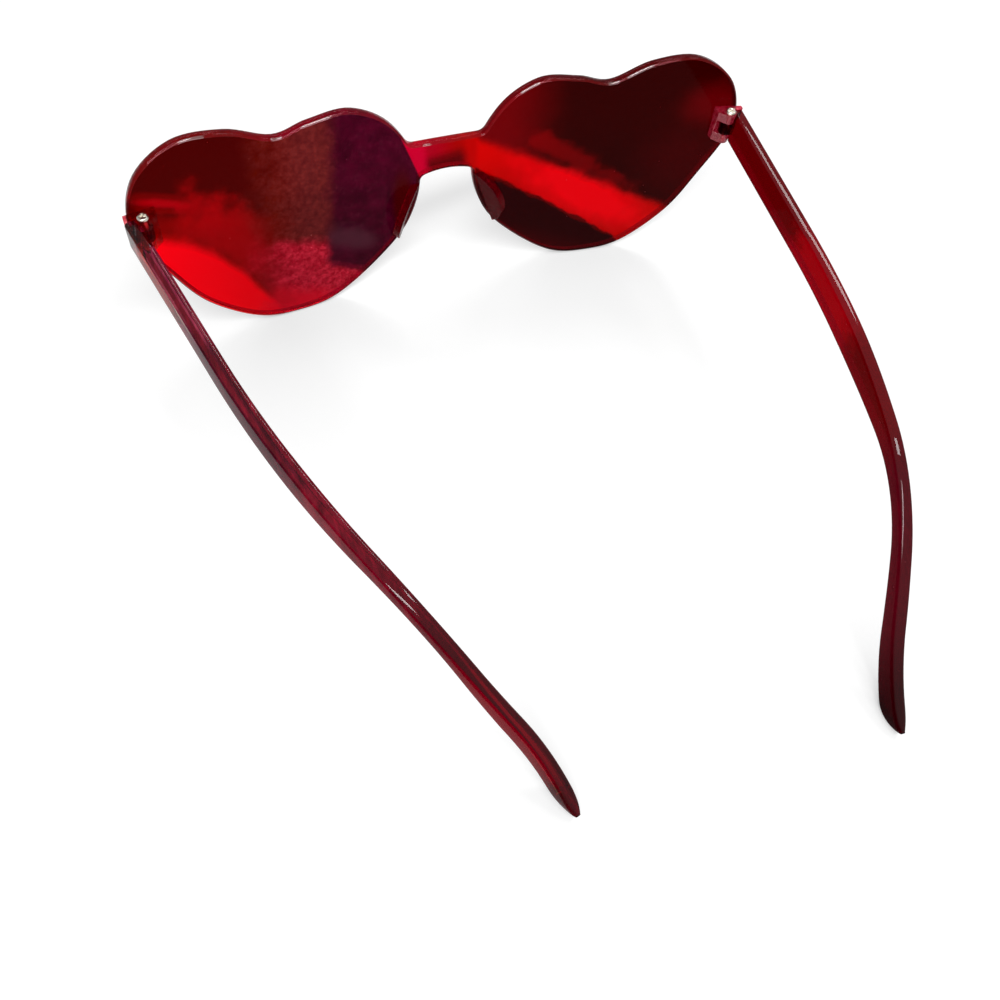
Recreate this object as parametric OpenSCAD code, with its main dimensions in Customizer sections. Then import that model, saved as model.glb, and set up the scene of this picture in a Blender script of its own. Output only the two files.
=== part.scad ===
// Heart shaped sunglasses: a one-piece clear red front with two temples that fold behind it.
// Millimetres, +Z up. The lenses face -Y and the wearer's left is +X.
// The glasses lie open on Z = 0, on the lens bottoms and the temple tips, as they were laid down.

/* [Front sheet] */
// Width of one heart
lens_w = 65; // [56:1:72]
// Height of one heart
lens_h = 54.4; // [46:0.2:60]
// Gap between the two hearts
nose_gap = 13.3; // [11:0.1:18]
// Thickness of the clear plastic sheet
sheet_t = 2.4; // [1.8:0.1:3]
// Radius that the sheet is bent to
sheet_r = 363; // [250:1:600]
// Lean of the sheet, its top forwards, in degrees
sheet_tilt = 6; // [2:0.5:9]

/* [Bridge] */
// Height of the bridge in its middle
bridge_h = 7.6; // [5:0.2:11]
// Height of the bridge above the middle of the hearts
bridge_rise = 9.2; // [6:0.1:12]
// How far the lower edge of the bridge bows up between its ends
bridge_bow = 1.2; // [0:0.1:2.5]
// How far the upper edge of the bridge bows up between its ends
bridge_top_bow = 0; // [0:0.1:1]
// Length of the blend from the bridge into each heart
bridge_blend = 1.4; // [0.6:0.1:2.4]

/* [Hinges] */
// Height of the hinges above the middle of the hearts
hinge_rise = 10.2; // [7:0.2:13]
// Height of the block that is bonded behind each outer edge
block_h = 8; // [7:0.1:10]
// Width of the block
block_w = 6.6; // [5.8:0.1:8]
// Radius of the hinge knuckles
knuckle_r = 1.5; // [1.3:0.05:1.7]
// Height of the temple's knuckle, which turns between the block's two
knuckle_h = 3; // [2.2:0.1:4]
// Distance from the sheet back to the middle of the screw
screw_back = 2.1; // [2:0.05:3]
// Distance from the temple's outer face in to the middle of the screw
screw_inset = 3.85; // [3.6:0.05:4.3]
// Gap between faces that move past each other
hinge_gap = 0.15; // [0.08:0.01:0.25]

/* [Hinge screws] */
// Diameter of the screw
screw_d = 1.4; // [1:0.1:1.8]
// Radial clearance of the screw in the temple's knuckle
screw_clearance = 0.05; // [0.02:0.01:0.1]
// Diameter of the screw's head
head_d = 2.4; // [2:0.1:3.2]
// Height of the screw's head
head_h = 0.7; // [0.5:0.05:1]
// Width of the slots of the cross in the head
cross_w = 0.35; // [0.25:0.05:0.5]
// Length of the slots of the cross
cross_l = 1.5; // [1:0.1:1.8]
// Depth of the cross
cross_depth = 0.35; // [0.2:0.05:0.4]

/* [Temples] */
// Length of a temple from the screw to the tip, along its curve
temple_l = 151; // [135:1:160]
// Thickness of a temple
temple_t = 3; // [2.6:0.1:3.2]
// Height of a temple at the hinge
temple_h = 7.6; // [6:0.1:9]
// Height of a temple in the middle of its straight run
temple_mid_h = 7.7; // [5.5:0.1:8.5]
// Height of a temple where it is slimmest, over the ear
ear_h = 4.2; // [3.2:0.1:6]
// Height of the paddle behind the ear
paddle_h = 6; // [4.5:0.1:8]
// Radius on the long edges of a temple
temple_edge_r = 0.9; // [0.3:0.05:1.1]
// Length over which the tip is rounded
tip_round_l = 6; // [3:0.1:9]
// Rise of the very tip above the middle of the paddle, which slants its end
tip_rise = 2.8; // [0:0.1:3]
// Distance of a temple's outer face out beyond the outer edge of the heart
temple_outset = 0.7; // [0:0.1:1]
// Distance that a temple reaches in front of its screw
temple_nose_l = 0.6; // [0.4:0.05:0.7]
// Length of the straight run behind the screw
straight_l = 37; // [20:1:45]
// Length of the stretch that curves in round the head
wrap_l = 92; // [75:1:100]
// Radius of that curve
wrap_r = 248; // [200:1:400]
// Radius of the last stretch, which flares back out
flare_r = 62; // [50:1:200]
// Distance from the screw to where the ear bend starts
ear_start = 86; // [75:1:95]
// Length of the ear bend
ear_bend_l = 28; // [20:1:40]
// Angle of the ear bend, in degrees
ear_drop = 33; // [20:1:40]

/* [Pose] */
// How far the right temple is folded in from fully open, in degrees
right_fold_angle = 0; // [0:1:60]
// How far the left temple is folded in from fully open, in degrees
left_fold_angle = 12.9; // [0:0.1:60]
// Inward lean of a fully open temple, in degrees
open_angle = 0.6; // [0:0.1:4]

/* [Nose pads] */
// Height of a nose pad
pad_h = 15.5; // [10:0.5:16]
// How far a nose pad stands out from the sheet
pad_depth = 4.5; // [3:0.1:6]
// Thickness of a nose pad at its edge
pad_edge_t = 0.8; // [0.6:0.1:1.4]
// Extra thickness in the middle of a nose pad
pad_crown = 1; // [0.4:0.1:1.4]
// Distance of a pad's middle in from the heart's inner edge
pad_inset = 2.2; // [2:0.1:4]
// Drop of a pad's middle below the middle of the hearts
pad_drop = 4.4; // [1:0.1:6]
// Lean of a pad, its foot outwards, in degrees
pad_lean = 19; // [8:1:26]
// Splay of a pad, its free edge outwards, in degrees
pad_splay = 35; // [20:1:45]

/* [Hidden] */
$fn = 96;

// How far a cut runs past what it cuts
overrun = 1;
// Fineness of the curves: steps between two points of the heart, and along each stretch of a temple
heart_steps = 8;
straight_steps = 6;
curve_steps = 52;
tip_steps = 9;
corner_steps = 4;
bridge_steps = 6;
blend_steps = 6;
// Angle of the round of the tip at which it is cut off square
tip_end_angle = 84;

// Share of the screw head's height that is bevelled
head_bevel_share = 0.35;
// Largest share of a temple's thickness or height that a round edge may take
edge_limit_share = 0.45;
// Share of its thickness that a temple loses at the very tip
tip_thin_share = 0.7;

// Points of a heart from its notch round by the nose, as shares of lens_w and lens_h from its middle
heart_shares = [
  [0, 0.41], [-0.12, 0.44], [-0.27, 0.45], [-0.41, 0.34], [-0.5, 0.11], [-0.46, -0.13],
  [-0.34, -0.31], [-0.16, -0.47], [0, -0.5], [0.15, -0.46], [0.31, -0.3], [0.41, -0.1],
  [0.5, 0.15], [0.46, 0.37], [0.32, 0.49], [0.15, 0.48]
];
// Places along a temple where its height is given, as shares of temple_l
height_place_shares = [0, 0.4, 0.7, 0.9, 1];
heights = [temple_h, temple_mid_h, ear_h, paddle_h, paddle_h];

// A point of a smooth curve between b and c, with a and d the points beyond them
function smooth_point(a, b, c, d, t) =
  b + (c - a) * t / 2 + (a - 2.5 * b + 2 * c - d / 2) * t * t + (1.5 * b - a / 2 - 1.5 * c + d / 2) * t * t * t;

// A closed smooth curve through points
function smooth_loop(points, steps) = [
  for (i = [0 : len(points) - 1], j = [0 : steps - 1])
    let (n = len(points))
    smooth_point(points[(i + n - 1) % n], points[i], points[(i + 1) % n], points[(i + 2) % n], j / steps)
];

heart = smooth_loop([for (p = heart_shares) [p.x * lens_w, p.y * lens_h]], heart_steps);
lens_x = nose_gap / 2 + lens_w / 2;

// The heart's edge beside the nose: how far from the middle plane it is at a height
nose_edge = [for (p = heart) if (p.x < 0) [p.y, lens_x + p.x]];
function nose_edge_x(height) = lookup(height, nose_edge);

// The sheet stands on the lowest point of the hearts and leans forwards about the X axis
function front_face_y(x) = sheet_r - sqrt(sheet_r * sheet_r - x * x);
function back_face_y(x) = sheet_r - sqrt(pow(sheet_r - sheet_t, 2) - x * x);
function leaned(x, y, height) =
  [x, y * cos(sheet_tilt) - height * sin(sheet_tilt), height * cos(sheet_tilt) + y * sin(sheet_tilt)];
sheet_depth = back_face_y(lens_x + lens_w / 2);
front_points = [for (p = heart) leaned(lens_x + p.x, front_face_y(lens_x + p.x), p.y)];
lens_z = -min([for (p = front_points) p.z]);

// Middle of the left hinge, before the whole is moved over the origin
screw_x = nose_gap / 2 + lens_w + temple_outset - screw_inset;
hinge_mid = leaned(screw_x, back_face_y(screw_x), hinge_rise) + [0, screw_back, lens_z];

// Plan of the end block, from its screw: its inner side, its back face and how far it reaches forward
block_inner_x = screw_inset - block_w;
shoulder_y = -temple_nose_l - hinge_gap;
block_reach = screw_back + block_w;
slot_h = knuckle_h + 2 * hinge_gap;

// Way of a temple seen from above and from the side, at a distance s behind its screw
function turned_in(s) = (min(max(s - straight_l, 0), wrap_l) / wrap_r
  - max(s - straight_l - wrap_l, 0) / flare_r) * 180 / PI;
function bent_down(s) = ear_drop * min(max((s - ear_start) / ear_bend_l, 0), 1);
function way(s, slope) =
  let (h = turned_in(s), q = slope + bent_down(s)) [-sin(h) * cos(q), cos(h) * cos(q), -sin(q)];
function outward(s) = let (h = turned_in(s)) [cos(h), sin(h), 0];
function upward(s, slope) =
  let (h = turned_in(s), q = slope + bent_down(s)) [-sin(q) * sin(h), sin(q) * cos(h), cos(q)];

// Height of a temple at s, eased between the given places and rounded off at the tip
function ease(t) = (1 - cos(180 * t)) / 2;
function given_height(share, i) = share > height_place_shares[i + 1] && i < len(heights) - 2
  ? given_height(share, i + 1)
  : heights[i] + (heights[i + 1] - heights[i])
    * ease((share - height_place_shares[i]) / (height_place_shares[i + 1] - height_place_shares[i]));
function tip_scale(s) = sqrt(1 - pow(max(s - temple_l + tip_round_l, 0) / tip_round_l, 2));
function height_at(s) = given_height(max(s, 0) / temple_l, 0) * tip_scale(s);
function raised(s) = tip_rise * (1 - tip_scale(s));

// Stations of a temple, finer at the tip, and its middle line from in front of the screw to the tip
sweep_start = -temple_nose_l - overrun;
stations = concat(
  [for (i = [0 : straight_steps - 1]) sweep_start + (straight_l - sweep_start) * i / straight_steps],
  [for (i = [0 : curve_steps]) straight_l + (temple_l - tip_round_l - straight_l) * i / curve_steps],
  [for (i = [1 : tip_steps]) temple_l - tip_round_l + tip_round_l * sin(tip_end_angle * i / tip_steps)]
);
function middle_line(slope) = [
  for (i = 0, p = [screw_inset - temple_t / 2, sweep_start * cos(slope), -sweep_start * sin(slope)];
    i < len(stations);
    p = i + 1 < len(stations)
      ? p + (stations[i + 1] - stations[i]) * way((stations[i] + stations[i + 1]) / 2, slope) : p,
    i = i + 1) p
];

// Upper (side 1) and lower (side -1) edge of a temple
function temple_edge(slope, side) = let (line = middle_line(slope)) [
  for (i = [0 : len(stations) - 1])
    let (s = stations[i]) line[i] + upward(s, slope) * (raised(s) + side * height_at(s) / 2)
];

// Slope that sets the lower edge of the tip on the floor, found in a few turns from level
function lowest(points, i = 0, best = 0) = i == len(points)
  ? points[best]
  : lowest(points, i + 1, points[i].z < points[best].z ? i : best);
function floor_slope(slope, turns) = turns == 0
  ? slope
  : let (p = lowest(temple_edge(slope, -1)))
    floor_slope(slope + atan2(p.z + hinge_mid.z, p.y), turns - 1);
temple_slope = floor_slope(0, 4);

// The whole is moved so that the middle of its length is over the origin
function spun(p, angle) = [p.x * cos(angle) - p.y * sin(angle), p.x * sin(angle) + p.y * cos(angle), p.z];
temple_reach = max([
  for (p = temple_edge(temple_slope, 1)) spun(p, min(left_fold_angle, right_fold_angle) + open_angle).y
]);
shift_y = -(min([for (p = front_points) p.y]) + hinge_mid.y + temple_reach) / 2;

// Place of the left hinge, which the joints need
hinge_at = hinge_mid + [0, shift_y, 0];
echo(hinge_at = hinge_at);

// Puts children, drawn with the sheet upright and the middle of the hearts at the origin, on the sheet
module on_sheet() translate([0, shift_y, lens_z]) rotate([sheet_tilt, 0, 0]) children();

// The cylinder that the sheet's front or back face lies on
module face_cylinder(r) translate([0, sheet_r, -lens_h]) cylinder(r = r, h = 2 * lens_h, $fn = 360);

// Everything behind the sheet's back face
module behind_sheet() on_sheet() face_cylinder(sheet_r - sheet_t);

// Upper (side 1) and lower (side -1) edge of the bridge, each bowed up between the hearts
function bridge_edge(x, side) = let (bow = side == 1 ? bridge_top_bow : bridge_bow)
  [x, bridge_rise + side * bridge_h / 2 - bow * pow(2 * x / nose_gap, 2)];

// Where an edge of the bridge would meet the heart, and the two ends of the blend that rounds that corner
function bridge_corner(side) = bridge_edge(nose_edge_x(bridge_edge(nose_gap / 2, side).y), side);
function blend_foot(side) = bridge_edge(bridge_corner(side).x - bridge_blend, side);
function blend_top(side) =
  let (height = bridge_corner(side).y + side * bridge_blend) [nose_edge_x(height), height];
function blend_curve(a, corner, b) = [
  for (i = [0 : blend_steps])
    let (t = i / blend_steps) a * (1 - t) * (1 - t) + corner * 2 * t * (1 - t) + b * t * t
];

// The part of the left heart that the bridge leaves free, clockwise from above the bridge to below it
function free_heart() = let (
  first = min([for (i = [0 : len(heart) - 1]) if (heart[i].y < blend_top(1).y) i]),
  last = max([for (i = [0 : len(heart) - 1]) if (heart[i].x < 0 && heart[i].y > blend_top(-1).y) i])
) [
  for (i = [first - 1 : -1 : last + 1 - len(heart)])
    let (p = heart[(i + len(heart)) % len(heart)]) [p.x + lens_x, p.y]
];

// Outline of the left half from the middle of the bridge's upper edge to that of its lower edge
left_half = concat(
  [for (i = [0 : bridge_steps - 1]) bridge_edge(blend_foot(1).x * i / bridge_steps, 1)],
  blend_curve(blend_foot(1), bridge_corner(1), blend_top(1)),
  free_heart(),
  blend_curve(blend_top(-1), bridge_corner(-1), blend_foot(-1)),
  [for (i = [bridge_steps - 1 : -1 : 0]) bridge_edge(blend_foot(-1).x * i / bridge_steps, -1)]
);

module sheet_outline() polygon(concat(
  left_half,
  [for (i = [len(left_half) - 2 : -1 : 1]) [-left_half[i].x, left_half[i].y]]
));

// Both hearts and the bridge in one curved sheet
module front() color("darkred") on_sheet() difference() {
  intersection() {
    translate([0, sheet_depth + overrun, 0]) rotate([90, 0, 0]) linear_extrude(sheet_depth + 2 * overrun)
      sheet_outline();
    face_cylinder(sheet_r);
  }
  face_cylinder(sheet_r - sheet_t);
}

// Plan of the end block's knuckles: a round end with a gusset down to the block's inner corner
module knuckle_plan() {
  corner = [block_inner_x, shoulder_y];
  touch = atan2(corner.y, corner.x) + 360 - acos(knuckle_r / norm(corner));
  circle(knuckle_r);
  polygon([
    corner, [knuckle_r, shoulder_y], [knuckle_r, 0], [0, 0], knuckle_r * [cos(touch), sin(touch)]
  ]);
}

// Block bonded behind the sheet, with a knuckle above and below the temple's own
module end_block() color("crimson") intersection() {
  translate(hinge_at) difference() {
    union() {
      translate([block_inner_x, -block_reach, -block_h / 2])
        cube([block_w, block_reach + shoulder_y, block_h]);
      translate([0, 0, -block_h / 2]) linear_extrude(block_h) knuckle_plan();
    }
    translate([0, 0, -slot_h / 2]) cylinder(r = knuckle_r + hinge_gap, h = slot_h);
    translate([block_inner_x - overrun, shoulder_y, -slot_h / 2])
      cube([block_w + 2 * overrun, knuckle_r - shoulder_y + overrun, slot_h]);
    cylinder(d = screw_d, h = block_h + 2 * overrun, center = true);
  }
  behind_sheet();
}

// Pan head screw with a cross, down through all three knuckles
module hinge_screw() color("silver") translate(hinge_at) difference() {
  union() {
    translate([0, 0, -block_h / 2]) cylinder(d = screw_d, h = block_h);
    translate([0, 0, block_h / 2]) {
      cylinder(d = head_d, h = head_h * (1 - head_bevel_share));
      translate([0, 0, head_h * (1 - head_bevel_share)])
        cylinder(d1 = head_d, d2 = head_d - 2 * head_h * head_bevel_share, h = head_h * head_bevel_share);
    }
  }
  for (turn = [0, 90]) rotate([0, 0, turn])
    translate([-cross_l / 2, -cross_w / 2, block_h / 2 + head_h - cross_depth])
      cube([cross_l, cross_w, cross_depth + overrun]);
}

// Cross-section of a temple, across its thickness and height, with round corners
function section(thickness, height) =
  let (r = min(temple_edge_r, thickness * edge_limit_share, height * edge_limit_share))
  [
    for (corner = [0 : 3], i = [0 : corner_steps - 1])
      let (
        angle = 90 * (corner + i / (corner_steps - 1)),
        across = (corner == 0 || corner == 3 ? 1 : -1) * (thickness / 2 - r),
        up = (corner < 2 ? 1 : -1) * (height / 2 - r)
      )
      [across + r * cos(angle), up + r * sin(angle)]
  ];

// The temple's bar, its section carried along the middle line
module temple_bar() {
  line = middle_line(temple_slope);
  rings = [
    for (i = [0 : len(stations) - 1])
      let (s = stations[i], thickness = temple_t * (1 - tip_thin_share * (1 - tip_scale(s))))
      [
        for (p = section(thickness, height_at(s)))
          line[i] + p.x * outward(s) + (p.y + raised(s)) * upward(s, temple_slope)
      ]
  ];
  n = len(rings[0]);
  polyhedron(
    points = [for (ring = rings) each ring],
    faces = concat(
      [[for (j = [n - 1 : -1 : 0]) j]],
      [for (i = [0 : len(rings) - 2], j = [0 : n - 1]) each [
        [i * n + j, (i + 1) * n + (j + 1) % n, (i + 1) * n + j],
        [i * n + j, i * n + (j + 1) % n, (i + 1) * n + (j + 1) % n]
      ]],
      [[for (j = [0 : n - 1]) (len(rings) - 1) * n + j]]
    )
  );
}

// Room round the block's upper or lower knuckle, which the temple turns about
module knuckle_room() {
  reach = knuckle_r + hinge_gap;
  cylinder(r = reach, h = temple_h);
  translate([-reach, -reach - overrun, 0]) cube([2 * reach, reach + overrun, temple_h]);
}

module temple() color("maroon") difference() {
  union() {
    difference() {
      rotate([0, 0, open_angle]) temple_bar();
      translate([-temple_h, -temple_nose_l - temple_h, -temple_h])
        cube([2 * temple_h, temple_h, 2 * temple_h]);
      translate([0, 0, knuckle_h / 2]) knuckle_room();
      translate([0, 0, -knuckle_h / 2 - temple_h]) knuckle_room();
    }
    translate([0, 0, -knuckle_h / 2]) {
      cylinder(r = knuckle_r, h = knuckle_h);
      translate([0, -temple_nose_l, 0])
        cube([screw_inset - temple_t / 2, temple_nose_l + knuckle_r, knuckle_h]);
    }
  }
  cylinder(r = screw_d / 2 + screw_clearance, h = knuckle_h + 2 * overrun, center = true);
}

// Clear pad on the sheet's back beside the nose: a domed disc that the sheet cuts to a D
module nose_pad() color("crimson") intersection() {
  r = (pad_h * pad_h / 4 + pad_depth * pad_depth) / (2 * pad_depth);
  thickness = pad_edge_t + pad_crown;
  dome_r = (r * r + pad_crown * pad_crown / 4) / pad_crown;
  x = nose_edge_x(-pad_drop) + pad_inset;
  on_sheet() translate([x, back_face_y(x), -pad_drop]) rotate([0, -pad_lean, 0])
    rotate([0, 0, -pad_splay]) translate([0, pad_depth - r, 0]) intersection() {
      rotate([0, 90, 0]) cylinder(r = r, h = thickness, center = true);
      for (side = [-1, 1]) translate([side * (dome_r - thickness / 2), 0, 0]) sphere(dome_r);
    }
  behind_sheet();
}

module on_right() mirror([1, 0, 0]) children();

module placed_temple(fold) translate(hinge_at) rotate([0, 0, fold]) temple();

front();
end_block();  // end_block_left
on_right() end_block();  // end_block_right
hinge_screw();  // hinge_screw_left
on_right() hinge_screw();  // hinge_screw_right
placed_temple(left_fold_angle);  // temple_left
on_right() placed_temple(right_fold_angle);  // temple_right
nose_pad();  // nose_pad_left
on_right() nose_pad();  // nose_pad_right
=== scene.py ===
import math

import bpy
from mathutils import Matrix, Vector

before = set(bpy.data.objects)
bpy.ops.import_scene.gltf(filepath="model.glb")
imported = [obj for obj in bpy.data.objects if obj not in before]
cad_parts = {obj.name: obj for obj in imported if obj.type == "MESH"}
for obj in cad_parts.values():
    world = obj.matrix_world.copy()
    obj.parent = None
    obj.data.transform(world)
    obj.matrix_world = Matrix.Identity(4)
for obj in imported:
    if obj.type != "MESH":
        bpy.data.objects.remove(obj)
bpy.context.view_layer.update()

# Metres in a millimetre. Places in the materials and widths of roundings are in millimetres.
MM = 0.001

# Camera, solved from the photograph, in the part's frame
CAMERA_AT = Vector((0.06501, 0.0934069, 0.19583))
CAMERA_RIGHT = Vector((-0.92998, 0.35164, 0.10715))
CAMERA_UP = Vector((-0.25425, -0.82581, 0.50338))
CAMERA_CLIP_START = 0.01
IMAGE_SIZE_PX = 1000
FOCAL_PX = 987.06
CENTRE_X_PX = 512.96
CENTRE_Y_PX = 473.97
SENSOR_MM = 36

# The bent sheet of the front, as in the part's source: its lean is in degrees
SHEET_RADIUS = 363
SHEET_LEAN = 6
LENS_MIDDLE_Y = -74.216
LENS_MIDDLE_Z = 26.883

# Where the painted bridge ends and a heart begins on each side
BRIDGE_LEFT_END = 5.0
BRIDGE_RIGHT_END = -7.5

# Bright glints of the window along the upper rim: middle across and up the sheet, and half length
GLINTS = ((55.6, 26.5, 2.6), (38.5, 22.3, 1.1), (30.0, 25.0, 3.4), (5.0, 10.2, 1.5),
          (-19.2, 23.2, 2.2), (-39.4, 23.3, 1.4), (-44.8, 25.5, 3.6))
GLINT_REACH = 3

# Refraction, kept low so that the reflected floor doesn't veil the dark tints, and high for the gloss coat
SHEET_IOR = 1.2
TEMPLE_IOR = 1.06
MOULDING_IOR = 1.1
COAT_IOR = 3.0

# Gloss coat's share on the rim away from its glints, on the temples' tops and on the right end block
RIM_COAT = 0.05
TEMPLE_COAT = 0.1
BLOCK_COAT = 0.25

# Tints of the plain reflections, in linear values
FACE_GLOSS = (1, 1, 1, 1)
EDGE_GLOSS = (0.6, 0.25, 0.3, 1)
REAR_GLOSS = (0.15, 0.008, 0.012, 1)
TEMPLE_SIDE_GLOSS = (0.4, 0.1, 0.14, 1)
PAD_GLOSS = (0.12, 0.03, 0.04, 1)
PINK_GLOSS = (1, 0.7, 0.76, 1)

# Light that the plastics let through to the floor
SHADOW_TINT = (0.35, 0.35, 0.35, 1)

# Floor in metres: its size, its colour, and how much is added to it where it is seen, near and far away
FLOOR_SIZE = 3.0
FLOOR_COLOUR = (0.8, 0.8, 0.8, 1)
FLOOR_LIFT_NEAR = 0.25
FLOOR_LIFT_FAR = 0.7
FLOOR_NEAR_MM = 300
FLOOR_FAR_MM = 900

# Strength of the white surroundings, as light and as seen by the camera
WORLD_LIGHT = 0.42
WORLD_SEEN = 1.0

# Points that the lamps aim at
PART_MIDDLE = (0, 0, 0.03)
FRONT_MIDDLE = (0, -0.07, 0.045)

# Finish of the meshes, with lengths in millimetres and the angle in degrees
WELD_DISTANCE = 0.0001
HARD_ANGLE = 40
ROUNDING_SEGMENTS = 3
LARGE_FACE_WEIGHT = 100

# Numbers of the Mix node's two inputs and its output, for colours and for directions
MIX_SOCKETS = {"RGBA": (6, 7, 2), "VECTOR": (4, 5, 1)}


def srgb(red, green, blue):
    """A colour given as it shows on screen, 0 to 255, in the renderer's linear values."""
    def linear(value):
        value /= 255
        return value / 12.92 if value <= 0.04045 else ((value + 0.055) / 1.055) ** 2.4
    return (linear(red), linear(green), linear(blue), 1)


def make_camera():
    data = bpy.data.cameras.new("camera")
    data.sensor_width = SENSOR_MM
    data.lens = FOCAL_PX / IMAGE_SIZE_PX * SENSOR_MM
    data.shift_x = 0.5 - CENTRE_X_PX / IMAGE_SIZE_PX
    data.shift_y = CENTRE_Y_PX / IMAGE_SIZE_PX - 0.5
    data.clip_start = CAMERA_CLIP_START
    camera = bpy.data.objects.new("camera", data)
    back = CAMERA_RIGHT.cross(CAMERA_UP)
    turn = Matrix((CAMERA_RIGHT, CAMERA_UP, back)).transposed()
    camera.matrix_world = Matrix.Translation(CAMERA_AT) @ turn.to_4x4()
    bpy.context.collection.objects.link(camera)
    bpy.context.scene.camera = camera


class Graph:
    """A material's node tree, built by short calls that return output sockets."""

    def __init__(self, name):
        self.material = bpy.data.materials.new(name)
        self.material.use_nodes = True
        self.tree = self.material.node_tree
        self.tree.nodes.clear()
        where = self.add("ShaderNodeTexCoord").outputs["Object"]
        self.place = self.vector("SCALE", {0: where, "Scale": 1 / MM})
        self.x, self.y, self.z = self.axes(self.place)

    def add(self, kind, inputs=None, **settings):
        """A new node. Inputs are given by name or number, as a value or as a socket to link."""
        made = self.tree.nodes.new(kind)
        for name, value in settings.items():
            setattr(made, name, value)
        for key, value in (inputs or {}).items():
            if isinstance(value, bpy.types.NodeSocket):
                self.tree.links.new(value, made.inputs[key])
            else:
                made.inputs[key].default_value = value
        return made

    def math(self, operation, a, b=0.0):
        return self.add("ShaderNodeMath", {0: a, 1: b}, operation=operation).outputs[0]

    def vector(self, operation, inputs):
        return self.add("ShaderNodeVectorMath", inputs, operation=operation).outputs[0]

    def axes(self, vector):
        return tuple(self.add("ShaderNodeSeparateXYZ", {0: vector}).outputs)

    def sum_of(self, a, b):
        return self.math("ADD", a, b)

    def times(self, a, b):
        return self.math("MULTIPLY", a, b)

    def total(self, start, *parts):
        """start plus all parts, which are pairs of a value and its weight."""
        for value, weight in parts:
            start = self.sum_of(start, self.times(value, weight))
        return start

    def step(self, value, low, high):
        """0 below low and 1 above high, with a smooth step between. low may be the greater."""
        inputs = {"Value": value, "From Min": low, "From Max": high}
        return self.add("ShaderNodeMapRange", inputs, interpolation_type="SMOOTHSTEP").outputs[0]

    def mix(self, share, a, b, kind="RGBA"):
        """a where share is 0 and b where it is 1, for colours or, with kind VECTOR, directions."""
        first, second, result = MIX_SOCKETS[kind]
        return self.add("ShaderNodeMix", {0: share, first: a, second: b}, data_type=kind).outputs[result]

    def paint(self, under, mask, over, strength=1.0):
        """The colour over laid on the colour under where mask is 1, up to strength."""
        return self.mix(self.times(mask, strength), under, over)

    def noise(self, size, detail=2.0, stretch=(1, 1, 1), roughness=0.5):
        """Noise between 0 and 1 whose lumps are about size millimetres wide."""
        place = self.vector("MULTIPLY", {0: self.place, 1: stretch})
        inputs = {"Vector": place, "Scale": 1 / size, "Detail": detail, "Roughness": roughness}
        return self.add("ShaderNodeTexNoise", inputs).outputs[0]

    def specks(self, spacing, radius):
        """1 on small round specks and 0 elsewhere."""
        inputs = {"Vector": self.place, "Scale": 1 / spacing, "Randomness": 1.0}
        distance = self.add("ShaderNodeTexVoronoi", inputs).outputs["Distance"]
        return self.step(distance, low=radius / spacing, high=radius / spacing / 2)

    def bump(self, height, distance, strength, normal=None):
        inputs = {"Height": height, "Distance": distance * MM, "Strength": strength}
        if normal:
            inputs["Normal"] = normal
        return self.add("ShaderNodeBump", inputs).outputs[0]

    def clear_plastic(self, colour, roughness, normal, transmission, gloss, coat, ior):
        """Tinted clear plastic. Its shadow is a plain soft grey, as light spreads in the plastic."""
        body = self.add("ShaderNodeBsdfPrincipled", {
            "Base Color": colour,
            "Roughness": roughness,
            "Normal": normal,
            "IOR": ior,
            "Specular Tint": gloss,
            "Transmission Weight": transmission,
            "Coat Weight": coat,
            "Coat IOR": COAT_IOR,
        }).outputs[0]
        path = self.add("ShaderNodeLightPath").outputs
        passing = self.math("MAXIMUM", path["Is Shadow Ray"], path["Is Diffuse Ray"])
        through = self.add("ShaderNodeBsdfTransparent", {0: SHADOW_TINT}).outputs[0]
        return self.finish(self.add("ShaderNodeMixShader", {0: passing, 1: body, 2: through}).outputs[0])

    def finish(self, shader):
        self.add("ShaderNodeOutputMaterial", {0: shader})
        return self.material


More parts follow.
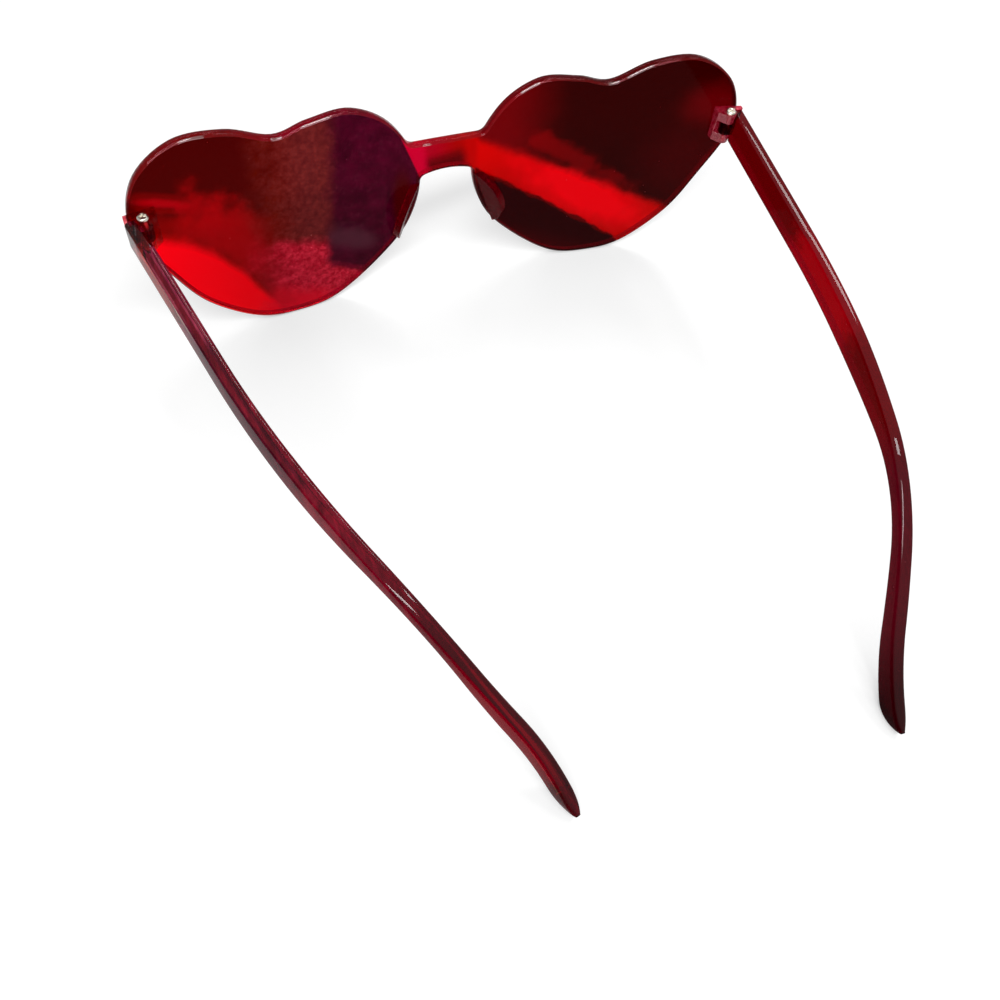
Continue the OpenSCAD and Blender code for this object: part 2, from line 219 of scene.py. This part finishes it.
class Sheet(Graph):
    """Node tree of the bent front: x and s run along the sheet, across and up, in millimetres."""

    def __init__(self, name):
        super().__init__(name)
        lean = math.radians(SHEET_LEAN)
        up = self.times(self.sum_of(self.z, -LENS_MIDDLE_Z), math.cos(lean))
        behind = self.times(self.sum_of(self.y, -LENS_MIDDLE_Y), -math.sin(lean))
        self.s = self.sum_of(up, behind)
        self.wave = self.sum_of(self.noise(size=5.0, detail=4.0), -0.5)

        # How far a surface faces forward: 1 on the front face, -1 on the rear face, 0 on the edge
        aside = self.times(self.x, 1 / SHEET_RADIUS)
        ahead = self.math("SQRT", self.total(1.0, (self.times(aside, aside), -1)))
        down, back = self.times(ahead, -math.sin(lean)), self.times(ahead, -math.cos(lean))
        forward = self.add("ShaderNodeCombineXYZ", {0: aside, 1: back, 2: down}).outputs[0]
        surface = self.add("ShaderNodeNewGeometry").outputs
        turned = {0: surface["True Normal"], 1: forward}
        facing = self.add("ShaderNodeVectorMath", turned, operation="DOT_PRODUCT").outputs["Value"]
        amount = self.math("ABSOLUTE", facing)
        self.edge = self.step(amount, low=0.9, high=0.85)
        self.chamfer = self.times(self.edge, self.step(amount, low=0.4, high=0.45))
        self.rear = self.step(facing, low=-0.9, high=-0.95)
        self.upward = self.step(self.axes(surface["True Normal"])[2], low=0.3, high=0.5)

        # The faces take the exact normal of the bent sheet, in place of the one of its thin strips, and
        # the chamfer its own flat one
        even = self.vector("SCALE", {0: forward, "Scale": self.math("SIGN", facing)})
        rim = self.mix(self.chamfer, surface["Normal"], surface["True Normal"], "VECTOR")
        self.normal = self.mix(self.edge, even, rim, "VECTOR")

    def below(self, x, s, slope, soft=1.0, ragged=0.0, bend=0.0):
        """1 below the curve through x and s, and 0 above it."""
        off = self.sum_of(self.x, -x)
        line = self.total(s, (off, slope), (self.times(off, off), bend))
        return self.step(self.total(self.s, (line, -1), (self.wave, ragged)), low=soft, high=-soft)

    def left_of(self, x, lean=0.0, soft=1.0, ragged=0.0):
        """1 on the wearer's left of a line through x, which moves by lean for each millimetre up."""
        gap = self.total(-x, (self.x, 1), (self.s, -lean), (self.wave, ragged))
        return self.step(gap, low=-soft, high=soft)

    def patch(self, x, s, wide, high, slope=0.0, soft=0.4, ragged=0.8):
        """1 inside a soft oval patch and 0 outside it. wide and high are half its sizes."""
        off = self.sum_of(self.x, -x)
        up = self.times(self.total(-s, (self.s, 1), (off, -slope)), 1 / high)
        off = self.times(off, 1 / wide)
        reach = self.math("SQRT", self.sum_of(self.times(off, off), self.times(up, up)))
        return self.step(self.total(reach, (self.wave, ragged)), low=1 + soft, high=1 - soft)


def right_heart(g):
    """Painted light and shade of the surroundings seen through the lens: nearly black maroon, with a bright
    ragged streak of painted light that runs down across it.
    """
    inner_end = g.left_of(x=-22, soft=9, ragged=5)
    shoulder = g.patch(x=-66, s=14, wide=7, high=5, soft=0.7)
    outer_side = g.patch(x=-61, s=-1, wide=10, high=9, soft=0.9)
    inner_fringe = g.patch(x=-31, s=3.5, wide=10, high=3, slope=0.6, ragged=2.4)
    outer_fringe = g.patch(x=-42, s=-5, wide=8, high=2.5, slope=0.4, ragged=2.4)
    under_streak_top = g.below(x=0, s=15.4, slope=0.52, soft=1.6, ragged=3)
    streak_middle = g.patch(x=-37, s=-9, wide=16, high=7, slope=0.6, soft=0.6)
    under_streak = g.below(x=0, s=8.6, slope=0.70, soft=0.5, ragged=3)
    foot = g.below(x=0, s=-10, slope=0.45, soft=5)

    colour = g.mix(inner_end, srgb(44, 0, 0), srgb(104, 0, 4))
    colour = g.paint(colour, shoulder, srgb(88, 0, 3))
    colour = g.paint(colour, outer_side, srgb(66, 0, 2), strength=0.6)
    colour = g.paint(colour, inner_fringe, srgb(134, 0, 4), strength=0.6)
    colour = g.paint(colour, outer_fringe, srgb(120, 0, 4), strength=0.6)
    # Painted light: a bright streak where light comes through, and painted shade below it, a little lighter
    # towards the foot
    streak = g.mix(streak_middle, srgb(200, 0, 0), srgb(255, 0, 12))
    colour = g.paint(colour, under_streak_top, streak)
    return g.paint(colour, under_streak, g.mix(foot, srgb(42, 0, 2), srgb(70, 0, 3)))


def left_heart(g):
    """Painted light and shade of the surroundings seen through the lens: maroon above and bright red below
    on the outer side, then brown and crimson, then purple.
    """
    mottle = g.noise(size=1.5, detail=6.0, roughness=0.75)
    coarse = g.noise(size=4.0, detail=4.0, roughness=0.6)

    # Outer side, with a painted gleam and a foot painted bright red with light
    lower_part = g.below(x=68, s=11.5, slope=0.32, soft=2.0, ragged=3)
    gleam = g.patch(x=63.5, s=13.2, wide=6, high=1.8, slope=0.45)
    middle_patch = g.patch(x=51, s=-1, wide=9, high=9, slope=0.9, soft=0.6, ragged=2.6)
    painted_light_foot = g.below(x=66.8, s=4.7, slope=0.31, soft=1.6, ragged=3, bend=-0.0406)
    outer = g.mix(lower_part, srgb(70, 0, 0), srgb(122, 0, 0))
    outer = g.paint(outer, gleam, srgb(158, 0, 8))
    outer = g.paint(outer, middle_patch, srgb(156, 0, 5))
    outer = g.paint(outer, painted_light_foot, srgb(255, 0, 15))

    # Middle, brown above and crimson below
    brown = g.mix(g.step(g.x, low=42, high=32), srgb(92, 6, 0), srgb(88, 20, 22))
    brown = g.paint(brown, g.step(mottle, low=0.42, high=0.6), srgb(124, 38, 36), strength=0.7)
    crimson = g.mix(g.step(mottle, low=0.38, high=0.62), srgb(150, 2, 24), srgb(214, 38, 62))
    crimson = g.paint(crimson, g.below(x=40, s=-20, slope=0.5, soft=3, ragged=4), srgb(216, 8, 34))
    middle = g.paint(brown, g.below(x=43, s=-4.5, slope=0.33, soft=1.5, ragged=5), crimson)

    # Inner side, purple as painted shade of the surroundings, with a pale spot and the shade of the nose
    # pad
    pale_spot = g.patch(x=24, s=-9.5, wide=6, high=3.5, slope=0.4)
    pad_shade = g.patch(x=10.5, s=-3, wide=2.6, high=9, slope=0.3, ragged=0.2)
    purple = g.mix(g.step(coarse, low=0.35, high=0.7), srgb(52, 0, 18), srgb(78, 2, 30))
    purple = g.paint(purple, g.step(mottle, low=0.5, high=0.66), srgb(94, 22, 46), strength=0.6)
    purple = g.paint(purple, pale_spot, srgb(80, 34, 48), strength=0.8)
    purple = g.paint(purple, pad_shade, srgb(66, 2, 4))

    beyond_middle = g.left_of(x=43, lean=-0.05, soft=7, ragged=14)
    beyond_purple = g.left_of(x=28.6, lean=-0.08, soft=2.0, ragged=6)
    below_purple = g.below(x=29, s=-16.5, slope=0.5, soft=1.2, ragged=2)
    beyond_purple = g.math("MAXIMUM", beyond_purple, below_purple)
    return g.paint(purple, beyond_purple, g.mix(beyond_middle, middle, outer))


def bridge(g):
    """Painted light and shade seen through the bridge: crimson at the wearer's left end, dark red along the
    lower edge, bright red at the right end.
    """
    colour = g.mix(g.left_of(x=0.5, soft=3.5), srgb(160, 0, 0), srgb(164, 0, 24))
    colour = g.paint(colour, g.below(x=0, s=8.6, slope=-0.15, soft=1.2), srgb(88, 0, 4))
    colour = g.paint(colour, g.left_of(x=4.0, lean=0.1, soft=1.2), srgb(196, 0, 42))
    return g.mix(g.left_of(x=-5.4, lean=0.1, soft=1.4), srgb(178, 0, 0), colour)


def sheet_material():
    """Dark red clear sheet with polished faces and a saw-cut edge. Its colour holds painted light and shade
    seen through it, and the edge is painted redder with light.
    """
    g = Sheet("clear_red_sheet")
    colour = g.mix(g.left_of(x=BRIDGE_RIGHT_END, soft=0.6), right_heart(g), bridge(g))
    colour = g.paint(colour, g.left_of(x=BRIDGE_LEFT_END, lean=0.38, soft=0.25), left_heart(g))

    # Pale dust specks, and on the wearer's left a fine pale mottle painted as light seen through the sheet
    dust = g.specks(spacing=4.0, radius=0.14)
    fine = g.step(g.noise(size=0.6, detail=4.0, roughness=0.7), low=0.66, high=0.78)
    seen_through_mottle = g.times(fine, g.step(g.x, low=22, high=34))
    colour = g.mix(g.total(0.0, (dust, 0.3), (seen_through_mottle, 0.2)), colour, srgb(214, 110, 110))

    # The edge is painted redder with light passing along it, more on the wearer's left than on the right;
    # the upward chamfer is painted crimson with light and the downward one dark as painted shade
    edge = g.mix(g.left_of(x=-8, soft=2), srgb(120, 0, 12), srgb(176, 0, 22))
    mottle = g.step(g.noise(size=2.5, detail=3.0), low=0.35, high=0.7)
    edge = g.paint(edge, mottle, srgb(136, 0, 14), strength=0.7)
    edge = g.paint(edge, g.chamfer, g.mix(g.upward, srgb(64, 0, 4), srgb(150, 0, 20)))

    shine = RIM_COAT
    for x, s, half_length in GLINTS:
        glint = g.patch(x=x, s=s, wide=half_length, high=GLINT_REACH, soft=0.15, ragged=0.3)
        shine = g.math("MAXIMUM", shine, glint)

    height = g.total(g.noise(size=5.0), (dust, 0.5))
    return g.clear_plastic(
        colour=g.paint(colour, g.edge, edge),
        roughness=g.total(0.02, (g.noise(size=12.0, detail=3.0), 0.05), (dust, 0.3)),
        normal=g.bump(height, distance=0.02, strength=0.5, normal=g.normal),
        transmission=g.total(1.0, (g.edge, -0.08)),
        gloss=g.mix(g.rear, g.mix(g.edge, FACE_GLOSS, EDGE_GLOSS), REAR_GLOSS),
        coat=g.times(g.times(g.chamfer, g.upward), shine),
        ior=SHEET_IOR)


def right_temple(g, top, streaks, soft_y):
    """Dark red at the hinge, brighter on the straight run, and darker from the ear bend to the tip."""
    bright_run = g.times(g.step(soft_y, low=-32, high=-26), g.step(soft_y, low=4, high=-6))
    colour = g.mix(bright_run, srgb(88, 0, 2), srgb(142, 0, 8))
    colour = g.paint(colour, g.step(g.y, low=18, high=34), g.mix(streaks, srgb(58, 0, 8), srgb(94, 4, 20)))
    # The top face is painted a pinker red from the hinge back, as painted sheen
    colour = g.paint(colour, g.times(top, g.step(g.y, low=30, high=18)), srgb(110, 12, 20))
    return g.paint(colour, g.step(g.y, low=52, high=70), srgb(48, 0, 4))


def left_temple(g, outer, streaks, mottle, soft_y):
    """Streaked dark red on top. Outside it has a pale painted reflection at the hinge, then violet, red and
    olive at the tip.
    """
    top = g.mix(g.step(streaks, low=0.35, high=0.7), srgb(84, 0, 16), srgb(140, 14, 40))
    top = g.paint(top, g.step(g.y, low=8, high=40), srgb(64, 0, 8))

    # Pale painted reflection on the outer side near the hinge
    hinge_reflection = g.step(g.total(g.y, (mottle, 6)), low=-30, high=-39)
    violet = g.mix(g.step(mottle, low=0.4, high=0.75), srgb(40, 0, 12), srgb(92, 14, 44))
    red = g.mix(g.step(streaks, low=0.3, high=0.7), srgb(92, 0, 20), srgb(140, 2, 28))
    red = g.paint(red, g.step(soft_y, low=34, high=48), srgb(206, 0, 30))
    olive = g.mix(g.step(mottle, low=0.4, high=0.6), srgb(150, 8, 24), srgb(104, 70, 34))
    side = g.mix(g.step(soft_y, low=-5, high=9), violet, red)
    side = g.paint(side, g.step(soft_y, low=59, high=64), olive)
    side = g.paint(side, hinge_reflection, srgb(186, 154, 142))
    return g.mix(outer, top, side)


def temple_material():
    """Dark red clear bar with streaks and scuffs along it."""
    g = Graph("clear_red_temple")
    facing = g.axes(g.add("ShaderNodeTexCoord").outputs["Normal"])
    left = g.step(g.x, low=-1, high=1)
    outward = g.times(facing[0], g.total(-1, (left, 2)))
    outer = g.step(g.total(outward, (g.step(g.y, low=32, high=46), 0.3)), low=0.45, high=0.65)
    top = g.step(facing[2], low=0.55, high=0.8)

    streaks = g.noise(size=2.0, detail=4.0, stretch=(2.5, 0.16, 2.5))
    mottle = g.noise(size=1.6, detail=5.0, stretch=(1, 0.5, 1), roughness=0.7)
    scuffs = g.step(g.noise(size=0.5, detail=5.0, stretch=(1, 0.25, 1)), low=0.66, high=0.76)
    soft_y = g.total(g.y, (g.sum_of(mottle, -0.5), 14))
    right_colour = right_temple(g, top, streaks, soft_y)
    left_colour = left_temple(g, outer, streaks, mottle, soft_y)
    colour = g.mix(left, right_colour, left_colour)
    return g.clear_plastic(
        colour=g.paint(colour, scuffs, srgb(190, 80, 100), strength=0.08),
        roughness=g.total(0.03, (streaks, 0.08), (scuffs, 0.25)),
        normal=g.bump(g.total(streaks, (scuffs, 0.3)), distance=0.012, strength=0.5),
        transmission=0.97,
        gloss=g.mix(top, TEMPLE_SIDE_GLOSS, PINK_GLOSS),
        coat=g.times(top, TEMPLE_COAT),
        ior=TEMPLE_IOR)


def moulding_material():
    """Clear crimson moulding of the end blocks and nose pads, crinkled inside so that it glints. The right
    end block is painted a brighter pink as painted light of its glints.
    """
    g = Graph("clear_crimson_moulding")
    lumps = g.noise(size=0.9, detail=4.0, roughness=0.6)
    right_block = g.step(g.x, low=-50, high=-60)
    left_block = g.step(g.x, low=50, high=60)
    pads = g.mix(g.step(lumps, low=0.35, high=0.65), srgb(110, 0, 12), srgb(150, 0, 20))
    clear = g.mix(g.step(lumps, low=0.4, high=0.65), srgb(196, 60, 70), srgb(240, 120, 130))
    # The right end block is painted pink and brighter than the left one, as painted light of its glints
    glint_pink = g.mix(g.step(lumps, low=0.4, high=0.6), srgb(200, 0, 44), srgb(240, 70, 100))
    crinkle = g.total(lumps, (g.noise(size=0.5), right_block))
    return g.clear_plastic(
        colour=g.paint(g.paint(pads, left_block, clear), right_block, glint_pink),
        roughness=g.total(0.02, (lumps, 0.1)),
        normal=g.bump(crinkle, distance=0.14, strength=0.9),
        transmission=g.total(0.75, (left_block, 0.25), (right_block, -0.05)),
        gloss=g.mix(right_block, PAD_GLOSS, PINK_GLOSS),
        coat=g.times(right_block, BLOCK_COAT),
        ior=MOULDING_IOR)


def screw_material():
    """Bright plated steel with fine turning marks."""
    g = Graph("screw_steel")
    marks = g.noise(size=0.12, detail=3.0)
    steel = {
        "Base Color": g.mix(marks, srgb(226, 222, 206), srgb(255, 250, 238)),
        "Metallic": 1.0,
        "Roughness": g.total(0.12, (marks, 0.2)),
        "Normal": g.bump(marks, distance=0.01, strength=0.6),
    }
    return g.finish(g.add("ShaderNodeBsdfPrincipled", steel).outputs[0])


def floor_material():
    """White floor that shows white to the camera and through the plastic, and keeps the soft shadow."""
    g = Graph("floor")
    reach = g.add("ShaderNodeVectorMath", {0: g.place}, operation="LENGTH").outputs["Value"]
    lift = g.add("ShaderNodeMapRange", {
        "Value": reach,
        "From Min": FLOOR_NEAR_MM,
        "From Max": FLOOR_FAR_MM,
        "To Min": FLOOR_LIFT_NEAR,
        "To Max": FLOOR_LIFT_FAR,
    }).outputs[0]
    path = g.add("ShaderNodeLightPath").outputs
    seen = g.math("MAXIMUM", path["Is Camera Ray"], path["Is Transmission Ray"])
    lifted = g.add("ShaderNodeEmission", {"Strength": g.times(seen, lift)}).outputs[0]
    matt = g.add("ShaderNodeBsdfDiffuse", {"Color": FLOOR_COLOUR}).outputs[0]
    return g.finish(g.add("ShaderNodeAddShader", {0: matt, 1: lifted}).outputs[0])


def make_floor():
    bpy.ops.mesh.primitive_plane_add(size=FLOOR_SIZE, location=(0, 0, 0))
    floor = bpy.context.object
    floor.name = "floor"
    floor.data.materials.append(floor_material())


def make_world():
    """White surroundings, which show whiter to the camera than they light the part."""
    world = bpy.data.worlds.new("world")
    bpy.context.scene.world = world
    world.use_nodes = True
    tree = world.node_tree
    background = tree.nodes["Background"]
    background.inputs["Color"].default_value = (1, 1, 1, 1)
    path = tree.nodes.new("ShaderNodeLightPath")
    strength = tree.nodes.new("ShaderNodeMapRange")
    tree.links.new(path.outputs["Is Camera Ray"], strength.inputs["Value"])
    strength.inputs["To Min"].default_value = WORLD_LIGHT
    strength.inputs["To Max"].default_value = WORLD_SEEN
    tree.links.new(strength.outputs[0], background.inputs["Strength"])


def make_lamp(name, azimuth, elevation, distance, length, width, power, turn=0.0, target=PART_MIDDLE):
    """Area lamp that points at a target. Angles are in degrees, lengths in metres, power in watts."""
    around, above = math.radians(azimuth), math.radians(elevation)
    level = math.cos(above)
    way = Vector((level * math.cos(around), level * math.sin(around), math.sin(above)))
    data = bpy.data.lights.new(name, "AREA")
    data.shape = "RECTANGLE"
    data.size = length
    data.size_y = width
    data.energy = power
    lamp = bpy.data.objects.new(name, data)
    place = Matrix.Translation(Vector(target) + way * distance)
    aim = way.to_track_quat("Z", "Y").to_matrix().to_4x4()
    lamp.matrix_world = place @ aim @ Matrix.Rotation(math.radians(turn), 4, "Z")
    bpy.context.collection.objects.link(lamp)


def make_lamps():
    """A long window over the front, whose image is the glints on its rim, and three weaker lamps."""
    make_lamp("window", azimuth=71, elevation=57.5, distance=0.82, length=0.8, width=0.11, power=4.2,
              turn=30, target=FRONT_MIDDLE)
    make_lamp("second_window", azimuth=-130, elevation=45, distance=0.8, length=0.55, width=0.08, power=1.4)
    make_lamp("strip", azimuth=-84, elevation=28, distance=0.8, length=0.5, width=0.03, power=0.3)
    make_lamp("side", azimuth=169, elevation=60, distance=0.8, length=0.1, width=0.1, power=0.4)


def dress(nodes, material, bevel=0.0, chamfer=False):
    """Gives CAD nodes their material, welds their faces and rounds or chamfers their hard edges."""
    for name in nodes:
        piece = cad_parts[name]
        mesh = piece.data
        if mesh.has_custom_normals:
            mesh.attributes.remove(mesh.attributes["custom_normal"])
        for polygon in mesh.polygons:
            polygon.use_smooth = True
        for edge in mesh.edges:
            edge.use_edge_sharp = False
        for slot in piece.material_slots:
            slot.material = material
        weld = piece.modifiers.new("weld", "WELD")
        weld.merge_threshold = WELD_DISTANCE * MM
        if bevel:
            rounding = piece.modifiers.new("rounding", "BEVEL")
            rounding.width = bevel * MM
            rounding.segments = 1 if chamfer else ROUNDING_SEGMENTS
            rounding.mark_sharp = chamfer
            rounding.limit_method = "ANGLE"
            rounding.angle_limit = math.radians(HARD_ANGLE)
            rounding.use_clamp_overlap = False
            rounding.loop_slide = False
        smooth = piece.modifiers.new("smooth", "WEIGHTED_NORMAL")
        smooth.keep_sharp = True
        smooth.weight = LARGE_FACE_WEIGHT


make_camera()
make_floor()
make_world()
make_lamps()

moulding = moulding_material()
dress(["front"], sheet_material(), bevel=0.4, chamfer=True)
dress(["temple_left", "temple_right"], temple_material())
dress(["end_block_left", "end_block_right"], moulding, bevel=0.1)
dress(["nose_pad_left", "nose_pad_right"], moulding, bevel=0.15)
dress(["hinge_screw_left", "hinge_screw_right"], screw_material(), bevel=0.08)

bpy.context.scene.view_settings.view_transform = "Standard"
